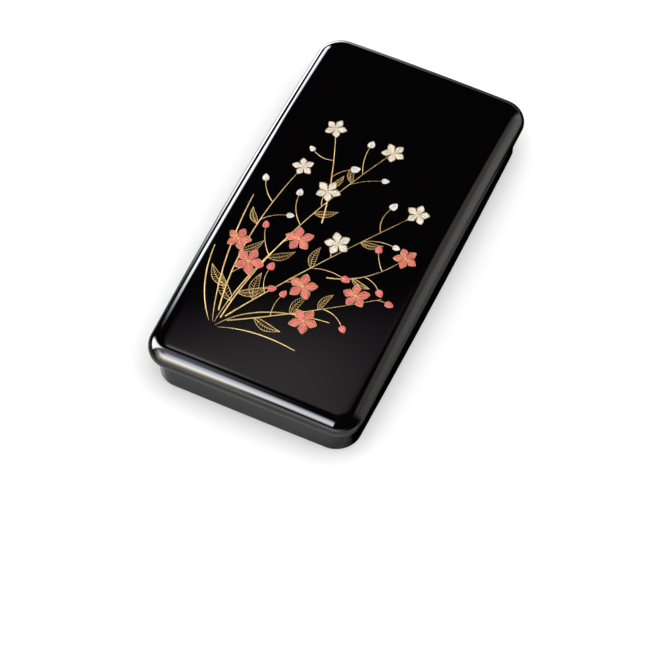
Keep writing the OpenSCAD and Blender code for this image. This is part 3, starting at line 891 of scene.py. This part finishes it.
class WB_OT_tray(bpy.types.Operator):
    """Gives the tray's boards rounded edges and satin lacquer"""
    bl_idname = "writing_box.tray"
    bl_label = "Tray"

    def execute(self, context):
        finish = satin_lacquer()
        for node in TRAY_NODES:
            softened(node, node + "_finished", 0.35, finish, "tray")
        return {"FINISHED"}


def box_mm(node):
    low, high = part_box(node)
    return low / MM, high / MM


class WB_OT_inkstone(bpy.types.Operator):
    """Carves the inkstone: rim, grinding face, slope and pond"""
    bl_idname = "writing_box.inkstone"
    bl_label = "Inkstone"

    rim = 5.0
    land, pond = 1.6, 9.0
    pond_length, slope_length = 17.0, 14.0
    wall = 3.0
    corner = 4.0
    edge = 1.1

    def depth(self, y, back):
        """How deep the grinding face, slope or pond lies at a place along the stone."""
        near_pond = back - self.rim - self.pond_length
        t = min(1.0, max(0.0, (y - (near_pond - self.slope_length)) / self.slope_length))
        return self.land + (self.pond - self.land) * (1 - math.cos(math.pi * t)) / 2

    def execute(self, context):
        low, high = box_mm("inkstone")
        middle = (low + high) / 2
        half_w, half_l = (high.x - low.x) / 2, (high.y - low.y) / 2

        def loop(inset, r, z, size=1.0):
            """A ring of the stone. z is a height, or gives one for each place along the stone."""
            heights = z if callable(z) else lambda y: z
            return [(middle.x + size * x, middle.y + size * y, heights(middle.y + size * y))
                    for x, y in straight_plan(half_w - inset, half_l - inset, r)]

        def sunk(share):
            return lambda y: high.z - share * self.depth(y, high.y)

        e, lip = self.edge, self.rim - 0.3
        rings = [loop(e, self.corner - e, low.z, k / 4) for k in range(1, 4)]
        rings += [loop(inset, self.corner - inset, z) for inset, z in
                  [(e * (1 - math.sin(a)), low.z + e * (1 - math.cos(a))) for a in quarter(6)]
                  + [(e * (1 - math.cos(a)), high.z - e * (1 - math.sin(a))) for a in quarter(6)]]
        rings += [loop(self.rim - 1.0, self.corner, high.z),
                  loop(self.rim - 0.5, self.corner, high.z - 0.05)]
        rings += [loop(lip + self.wall * t, self.corner + 3 - self.wall * t,
                       sunk((1 - math.cos(math.pi * t)) / 2)) for t in shares(10)]
        rings += [loop(lip + self.wall, self.corner + 1, sunk(1), 1 - k / 16) for k in range(1, 16)]
        verts, faces = skin((middle.x, middle.y, low.z), rings,
                            (middle.x, middle.y, high.z - self.depth(middle.y, high.y)))
        piece = new_piece("inkstone_carved", verts, faces, honed_slate(), "inkstone",
                          ("inkstone",))
        turned_outwards(piece.data)
        return {"FINISHED"}


class WB_OT_dropper(bpy.types.Operator):
    """Rounds the water dropper's edges and gives it aged bronze"""
    bl_idname = "writing_box.dropper"
    bl_label = "Water dropper"

    def execute(self, context):
        finish = aged_bronze()
        for node, width in (("dropper_tank", 0.3), ("dropper_top", 0.35), ("dropper_spout", 0.2)):
            softened(node, node + "_cast", width, finish, "water_dropper")
        return {"FINISHED"}


class WB_OT_ink_stick(bpy.types.Operator):
    """Rounds the ink stick's edges"""
    bl_idname = "writing_box.ink_stick"
    bl_label = "Ink stick"

    def execute(self, context):
        softened("ink_stick", "ink_stick_pressed", 0.5, pressed_ink(), "ink_stick")
        return {"FINISHED"}


def turned(name, node, profile, finish, body, sides=64, groove=None):
    """A piece turned about a line along Y through the CAD node's middle, from its front end back.
    profile holds (place along Y, radius) pairs as shares of the node's length and of its half width."""
    low, high = box_mm(node)
    middle, reach, r = (low + high) / 2, high.y - low.y, (high.x - low.x) / 2
    rings = []
    for place, share in profile:
        ring = []
        for k in range(sides):
            a = math.tau * k / sides
            rr = max(r * share, 0.01) * (groove(place, k) if groove else 1.0)
            ring.append((middle.x + rr * math.cos(a), low.y + reach * place,
                         middle.z + rr * math.sin(a)))
        rings.append(ring)
    verts, faces = skin((middle.x, low.y + reach * profile[0][0], middle.z), rings,
                        (middle.x, low.y + reach * profile[-1][0], middle.z))
    piece = new_piece(name, verts, faces, finish, body, (node,), sharp=40)
    turned_outwards(piece.data)


def shaft_profile():
    """Bamboo between its ends, with a low ring at each growth line."""
    growth_lines = (0.424, 0.754)

    def radius(off):
        """Radius so far from a growth line."""
        return 0.945 + 0.055 * math.exp(-(off / 0.004) ** 2)

    profile = [(0.0, 0.90), (0.003, 0.945)]
    profile += [(place, radius(min(abs(place - line) for line in growth_lines)))
                for place in shares(100)[1:-1]]
    profile += [(line + side * off, radius(off)) for line in growth_lines for side in (-1, 1)
                for off in (0.0015, 0.003, 0.005, 0.007)]
    return sorted(profile) + [(0.997, 0.945), (1.0, 0.90)]


COLLAR_PROFILE = ((0.0, 0.88), (0.02, 0.94), (0.05, 0.985), (0.09, 1.0), (0.14, 0.99), (0.18, 0.96),
                  (0.22, 0.985), (0.3, 1.0), (0.6, 1.0), (0.8, 0.975), (0.93, 0.94), (0.985, 0.9),
                  (1.0, 0.86))
BUTTON_PROFILE = ((0.0, 0.18), (0.03, 0.34), (0.1, 0.52), (0.22, 0.70), (0.4, 0.84), (0.6, 0.93),
                  (0.8, 0.98), (0.92, 1.0), (1.0, 0.96))


def hair_profile():
    """Swells from the root and draws to a point."""
    return [(t, (0.68 + 0.33 * math.sin(math.pi * min(1, t * 1.5))) * (1 - t ** 2.6) ** 0.8 + 0.004)
            for t in shares(60)]


class WB_OT_brushes(bpy.types.Operator):
    """Turns the two brushes: bamboo shaft, horn collar and button, and starched hair"""
    bl_idname = "writing_box.brushes"
    bl_label = "Brushes"

    def execute(self, context):
        bamboo, horn, hair = polished_bamboo(), polished_horn(), starched_hair()
        sides = 180
        for brush, seed in (("large_brush", 3), ("small_brush", 4)):
            chance = random.Random(seed)
            strands = [chance.uniform(-1, 1) for _ in range(sides)]
            waves = [(chance.randint(5, 14), chance.uniform(0, math.tau)) for _ in range(5)]

            def groove(place, k):
                """Share of the radius that the grooves between strands leave."""
                wave = sum(math.sin(n * math.tau * k / sides + p) for n, p in waves) / 5
                depth = 0.055 * math.sin(math.pi * min(1, 0.08 + place)) ** 0.5
                return 1 - depth * (0.55 + 0.3 * strands[k] + 0.35 * wave)

            turned(brush + "_bamboo", brush + "_shaft", shaft_profile(), bamboo, brush)
            turned(brush + "_horn_collar", brush + "_collar", COLLAR_PROFILE, horn, brush)
            turned(brush + "_horn_button", brush + "_button", BUTTON_PROFILE, horn, brush)
            turned(brush + "_starched_hair", brush + "_hair", hair_profile(), hair, brush,
                   sides, groove)
        return {"FINISHED"}


# ---------------------------------------------------------------- stage

SENSOR = 36                    # width of the camera's sensor, in millimetres


def place_camera(view):
    a, e = view.azimuth, view.elevation
    back = Vector((math.sin(a) * math.cos(e), -math.cos(a) * math.cos(e), math.sin(e)))
    right = Vector((math.cos(a), math.sin(a), 0))
    up = back.cross(right)
    camera = bpy.data.objects.new("camera", bpy.data.cameras.new("camera"))
    camera.data.sensor_width = SENSOR
    camera.data.lens = view.lens
    camera.data.clip_end = 50
    where = (right * view.aside + up * view.up + back * view.distance) * MM
    turn = Matrix((right, up, back)).transposed()
    camera.matrix_world = Matrix.Translation(where) @ turn.to_4x4()
    bpy.context.scene.collection.objects.link(camera)
    bpy.context.scene.camera = camera


def soft_lamp(name, where, aim, size, power):
    """A rectangular softbox in metres that faces its aim point."""
    lamp = bpy.data.lights.new(name, "AREA")
    lamp.shape = "RECTANGLE"
    lamp.size, lamp.size_y = size
    lamp.energy = power
    holder = bpy.data.objects.new(name, lamp)
    holder.location = where
    holder.rotation_mode = "QUATERNION"
    holder.rotation_quaternion = (Vector(aim) - Vector(where)).to_track_quat("-Z", "Y")
    bpy.context.scene.collection.objects.link(holder)
    return holder


def stage_plane(name, centre, half_x, half_y, material):
    x, y, z = centre
    mesh = bpy.data.meshes.new(name)
    mesh.from_pydata([(x - half_x, y - half_y, z), (x + half_x, y - half_y, z),
                      (x + half_x, y + half_y, z), (x - half_x, y + half_y, z)], [], [(0, 1, 2, 3)])
    mesh.materials.append(material)
    plane = bpy.data.objects.new(name, mesh)
    bpy.context.scene.collection.objects.link(plane)
    return plane


def seen_rays(tree):
    """1 for rays that the camera sends, straight, mirrored or through something clear, and else 0."""
    ray = add_node(tree, "ShaderNodeLightPath")
    seen = add_node(tree, "ShaderNodeMath", {0: (ray, "Is Camera Ray"), 1: (ray, "Is Glossy Ray")},
                    operation="MAXIMUM")
    return add_node(tree, "ShaderNodeMath", {0: (seen, 0), 1: (ray, "Is Transmission Ray")},
                    operation="MAXIMUM")


FLOOR_LIFT = 0.13              # glow that lifts the paper to white where the camera sees it
ROOM_LIGHT = 0.7               # strength of the pale room as a source of light
FLOOR_Z, FLOOR_HALF = -0.0002, 6    # in metres: the floor lies a little under the box
ROOM_RADIUS = 3.0              # of the dark room, in metres


def paper_floor(tint):
    """Matt white paper. What the camera sees is lifted to white, and it keeps the box's shadow."""
    material, tree, shader = new_material("paper_floor")
    lift = add_node(tree, "ShaderNodeMath", {0: (seen_rays(tree), 0), 1: FLOOR_LIFT},
                    operation="MULTIPLY")
    join(tree, shader, Base_Color=rgba(tint), Roughness=0.9, Specular_IOR_Level=0.1,
         Emission_Color=(1, 1, 1, 1), Emission_Strength=(lift, 0))
    return material


# What the polished lacquer mirrors: soft-edged boxes of light in a dark room, by their azimuths from +Y
# towards +X and their elevations, in degrees. Each set of four is where the light starts to rise, is
# full, starts to fall and is gone. Then come how far the upper edge falls per degree of azimuth, the
# brightness and the colour.
SOFT_BOXES = (
    # The front box: its warm lower half, its cool upper half, a brighter part and a lower one
    ((-181, -178, -148, -112), (28, 40, 41, 48), 0, 14.0, "FFFBF5"),
    ((-181, -178, -156, -130), (40, 47, 48, 61.5), -0.12, 15.0, "E8F0FF"),
    ((-167, -159, -153, -128), (17, 25, 34, 46), 0, 12.0, "FFEEDA"),
    ((-150, -140, -128, -112), (10, 20, 30, 42), 0, 3.0, "FFF6EC"),
    # What it lights behind the table
    ((-235, -185, -145, -125), (-10, -2, 16, 24), 0, 2.4, "FFFFFF"),
    # The left front box, and the glow between the two
    ((-114, -108, -90, -78), (8, 13, 48, 62), 1.3, 21.0, "FFFFFF"),
    ((-150, -132, -116, -104), (24, 36, 66, 74), 0, 2.2, "E8EEFF"),
    # The left back box: its near half and its far half
    ((-69.7, -64.1, -54, -50), (10, 15, 24, 33), 0, 19.0, "F8FAFF"),
    ((-54, -50, -42, -36), (6, 13, 18, 26), 0, 16.0, "F8FAFF"),
    # A pale wall at the right, and its lit foot
    ((14, 24, 55, 95), (-6, 2, 55, 60), 0, 0.8, "FFFAF4"),
    ((16, 26, 52, 85), (-2, 5, 26, 42), 0, 0.9, "FFF6EE"),
    # A pale strip of the ceiling, how far it goes on, dimmer, and its brighter near end
    ((-95, -73, -38, -18), (62, 68.8, 74, 88), 0, 0.4, "FFF2FA"),
    ((-95, -73, -5, 25), (60.4, 68.5, 74, 88), 0, 0.26, "FFF2FA"),
    ((-86, -80, -66, -46), (65, 70, 72, 75), 0, 1.6, "FFFFFF"),
)

# Cards just over the floor that only mirrors see. The black ones are painted shade on the floor as the
# lacquer mirrors it, and the bright one is a painted reflection of light. Columns: name, middle and half
# sizes in metres, ramps of cover (axis, start, end, first, last) and brightness, or None for a black card
MIRRORED_CARDS = (
    ("right_card", (0.245, 0.1, 0.0003), (0.215, 0.3),
     (("X", 0.03, 0.058, 0.0, 1.0), ("X", 0.1, 0.125, 1.0, 0.5), ("Y", -0.130, -0.112, 0.0, 1.0)),
     None),
    ("front_card", (0, -0.133, 0.0002), (0.11, 0.013), (("Y", -0.146, -0.139, 0.0, 0.38),), None),
    ("front_band", (0, -0.205, 0.0002), (0.2, 0.03),
     (("Y", -0.235, -0.2, 0.0, 0.45), ("Y", -0.195, -0.175, 1.0, 0.0)), None),
    ("corner_card", (-0.25, -0.14, 0.0002), (0.15, 0.2),
     (("X", -0.125, -0.1, 0.9, 0.0), ("Y", -0.03, 0.03, 1.0, 0.0)), None),
    ("back_card", (0.06, 0.34, 0.0002), (0.15, 0.22), (("X", -0.09, -0.03, 0.0, 0.9),), None),
    ("left_card", (-0.28, 0.22, 0.0002), (0.18, 0.2),
     (("X", -0.16, -0.1, 1.0, 0.0), ("Y", 0.02, 0.14, 0.4, 1.0)), 13.0),
    ("far_left_card", (-1.6, 0.92, 0.0004), (1.4, 1.0), (("X", -0.28, -0.22, 1.0, 0.0),), None),
)


def between_edges(tree, angle, edges, upper=None):
    """1 between the inner two of four angles in degrees, 0 outside the outer two, smooth between.
    upper, if given, stands in for the angle at the two upper edges."""
    middle = (edges[1] + edges[2]) / 2
    steps = []
    for given, out, full in ((angle, edges[0], edges[1]), (upper or angle, edges[3], edges[2])):
        off = add_node(tree, "ShaderNodeMath", {0: given, 1: middle}, operation="SUBTRACT")
        off = add_node(tree, "ShaderNodeMath", {0: (off, 0), 1: 180.0, 2: -180.0}, operation="WRAP")
        steps.append(add_node(tree, "ShaderNodeMapRange",
                              {"Value": (off, 0), "From Min": out - middle, "From Max": full - middle},
                              interpolation_type="SMOOTHSTEP"))
    return add_node(tree, "ShaderNodeMath", {0: (steps[0], 0), 1: (steps[1], 0)}, operation="MULTIPLY")


def dark_room():
    """Light of the dark room and its soft boxes, by the direction from the middle of the stage."""
    material = bpy.data.materials.new("dark_room")
    tree = cleared_tree(material)
    where = add_node(tree, "ShaderNodeTexCoord")
    out = add_node(tree, "ShaderNodeVectorMath", {0: (where, "Object")}, operation="NORMALIZE")
    axes = add_node(tree, "ShaderNodeSeparateXYZ", {0: (out, 0)})
    turn = add_node(tree, "ShaderNodeMath", {0: (axes, 0), 1: (axes, 1)}, operation="ARCTAN2")
    rise = add_node(tree, "ShaderNodeMath", {0: (axes, 2)}, operation="ARCSINE")
    azimuth = add_node(tree, "ShaderNodeMath", {0: (turn, 0)}, operation="DEGREES")
    elevation = add_node(tree, "ShaderNodeMath", {0: (rise, 0)}, operation="DEGREES")
    total = None
    for azimuths, elevations, lean, bright, tint in SOFT_BOXES:
        wide = between_edges(tree, (azimuth, 0), azimuths)
        upper = None
        if lean:
            off = add_node(tree, "ShaderNodeMath", {0: (azimuth, 0), 1: -float(azimuths[1])},
                           operation="ADD")
            upper = (add_node(tree, "ShaderNodeMath", {0: (off, 0), 1: lean, 2: (elevation, 0)},
                              operation="MULTIPLY_ADD"), 0)
        high = between_edges(tree, (elevation, 0), elevations, upper)
        level = add_node(tree, "ShaderNodeMath", {0: (wide, 0), 1: (high, 0)}, operation="MULTIPLY")
        glow = add_node(tree, "ShaderNodeVectorMath",
                        {0: [bright * c for c in linear(tint)], "Scale": (level, 0)}, operation="SCALE")
        if total is not None:
            glow = add_node(tree, "ShaderNodeVectorMath", {0: (total, 0), 1: (glow, 0)},
                            operation="ADD")
        total = glow
    light = add_node(tree, "ShaderNodeEmission", {"Color": (total, 0), "Strength": 1.0})
    add_node(tree, "ShaderNodeOutputMaterial", {"Surface": (light, 0)})
    return material


def mirrored_card(ramps, bright=None):
    """Card for the walls to mirror: a black one is painted shade and a bright one a painted reflection of
    light. Its cover is the product of ramps along X or Y.
    """
    material = bpy.data.materials.new("mirrored_card")
    tree = cleared_tree(material)
    where = add_node(tree, "ShaderNodeNewGeometry")
    axes = add_node(tree, "ShaderNodeSeparateXYZ", {0: (where, "Position")})
    cover = None
    for axis, start, end, first, last in ramps:
        ramp = add_node(tree, "ShaderNodeMapRange", {"Value": (axes, axis), "From Min": start,
                                                     "From Max": end, "To Min": first, "To Max": last})
        if cover is not None:
            ramp = add_node(tree, "ShaderNodeMath", {0: (cover, 0), 1: (ramp, 0)}, operation="MULTIPLY")
        cover = ramp
    open_part = add_node(tree, "ShaderNodeBsdfTransparent")
    if bright is None:
        face = add_node(tree, "ShaderNodeBsdfDiffuse", {"Color": (0, 0, 0, 1)})
    else:
        face = add_node(tree, "ShaderNodeEmission", {"Color": (1, 1, 1, 1), "Strength": bright})
    mix = add_node(tree, "ShaderNodeMixShader", {0: (cover, 0), 1: (open_part, 0), 2: (face, 0)})
    add_node(tree, "ShaderNodeOutputMaterial", {"Surface": (mix, 0)})
    return material


def mirrored_only(thing):
    """Keeps a stage piece out of every ray but the mirrored ones."""
    thing.visible_camera = thing.visible_diffuse = thing.visible_transmission = False
    thing.visible_shadow = thing.visible_volume_scatter = False


def stage_room(radius):
    """The dark room: a globe in metres that only mirrored rays see."""
    mesh = bpy.data.meshes.new("dark_room")
    globe = bmesh.new()
    bmesh.ops.create_uvsphere(globe, u_segments=48, v_segments=24, radius=radius)
    globe.to_mesh(mesh)
    globe.free()
    mesh.materials.append(dark_room())
    room = bpy.data.objects.new("dark_room", mesh)
    bpy.context.scene.collection.objects.link(room)
    mirrored_only(room)


def pale_room():
    """Surroundings that are white to the camera, and dimmer as a source of light."""
    world = bpy.data.worlds.new("pale_room")
    tree = cleared_tree(world)
    strength = add_node(tree, "ShaderNodeMapRange",
                        {"Value": (seen_rays(tree), 0), "To Min": ROOM_LIGHT, "To Max": 1.0})
    back = add_node(tree, "ShaderNodeBackground", {"Color": (1, 1, 1, 1), "Strength": (strength, 0)})
    add_node(tree, "ShaderNodeOutputWorld", {"Surface": (back, 0)})
    return world


class WB_OT_stage(bpy.types.Operator):
    """Sets the camera, the paper floor, the overhead lamp and what the lacquer mirrors"""
    bl_idname = "writing_box.stage"
    bl_label = "Stage"

    def execute(self, context):
        scene = context.scene
        scene.view_settings.view_transform = "Standard"
        place_camera(props("view"))
        stage_plane("floor", (0, 0, FLOOR_Z), FLOOR_HALF, FLOOR_HALF, paper_floor(props("finishes").floor))
        stage_room(ROOM_RADIUS)
        for name, middle, half, ramps, bright in MIRRORED_CARDS:
            mirrored_only(stage_plane(name, middle, *half, mirrored_card(ramps, bright)))
        scene.world = pale_room()
        lamp = soft_lamp("overhead_box", where=(0.5, -0.25, 2.15), aim=(0, 0, 0), size=(2.4, 2.4),
                         power=31)
        lamp.visible_glossy = False
        return {"FINISHED"}


# ---------------------------------------------------------------- panel and registration

class WB_PT_panel(bpy.types.Panel):
    """Lists the steps that make the writing box"""
    bl_idname = "WB_PT_panel"
    bl_label = "Writing box"
    bl_space_type = "VIEW_3D"
    bl_region_type = "UI"
    bl_category = "Writing box"

    def draw(self, context):
        for operator in OPERATORS:
            self.layout.operator(operator.bl_idname)
        for name, group in GROUPS.items():
            box = self.layout.box()
            for prop in group.__annotations__:
                box.prop(getattr(context.scene, "writing_box_" + name), prop)


GROUPS = {"case": CaseSizes, "view": ViewSizes, "finishes": Finishes, "inlay": InlaySizes}
OPERATORS = (WB_OT_stage, WB_OT_body, WB_OT_lid, WB_OT_inlay, WB_OT_tray, WB_OT_inkstone, WB_OT_dropper,
             WB_OT_ink_stick, WB_OT_brushes)


def register():
    for item in (*GROUPS.values(), *OPERATORS, WB_PT_panel):
        bpy.utils.register_class(item)
    for name, group in GROUPS.items():
        setattr(bpy.types.Scene, "writing_box_" + name, PointerProperty(type=group))


def unregister():
    for name in GROUPS:
        delattr(bpy.types.Scene, "writing_box_" + name)
    for item in reversed((*GROUPS.values(), *OPERATORS, WB_PT_panel)):
        bpy.utils.unregister_class(item)


def main():
    """Makes the writing box on its stage."""
    register()
    make = bpy.ops.writing_box
    make.stage()
    make.body()
    make.lid()
    make.inlay()
    make.tray()
    make.inkstone()
    make.dropper()
    make.ink_stick()
    make.brushes()


if __name__ == "__main__":
    main()
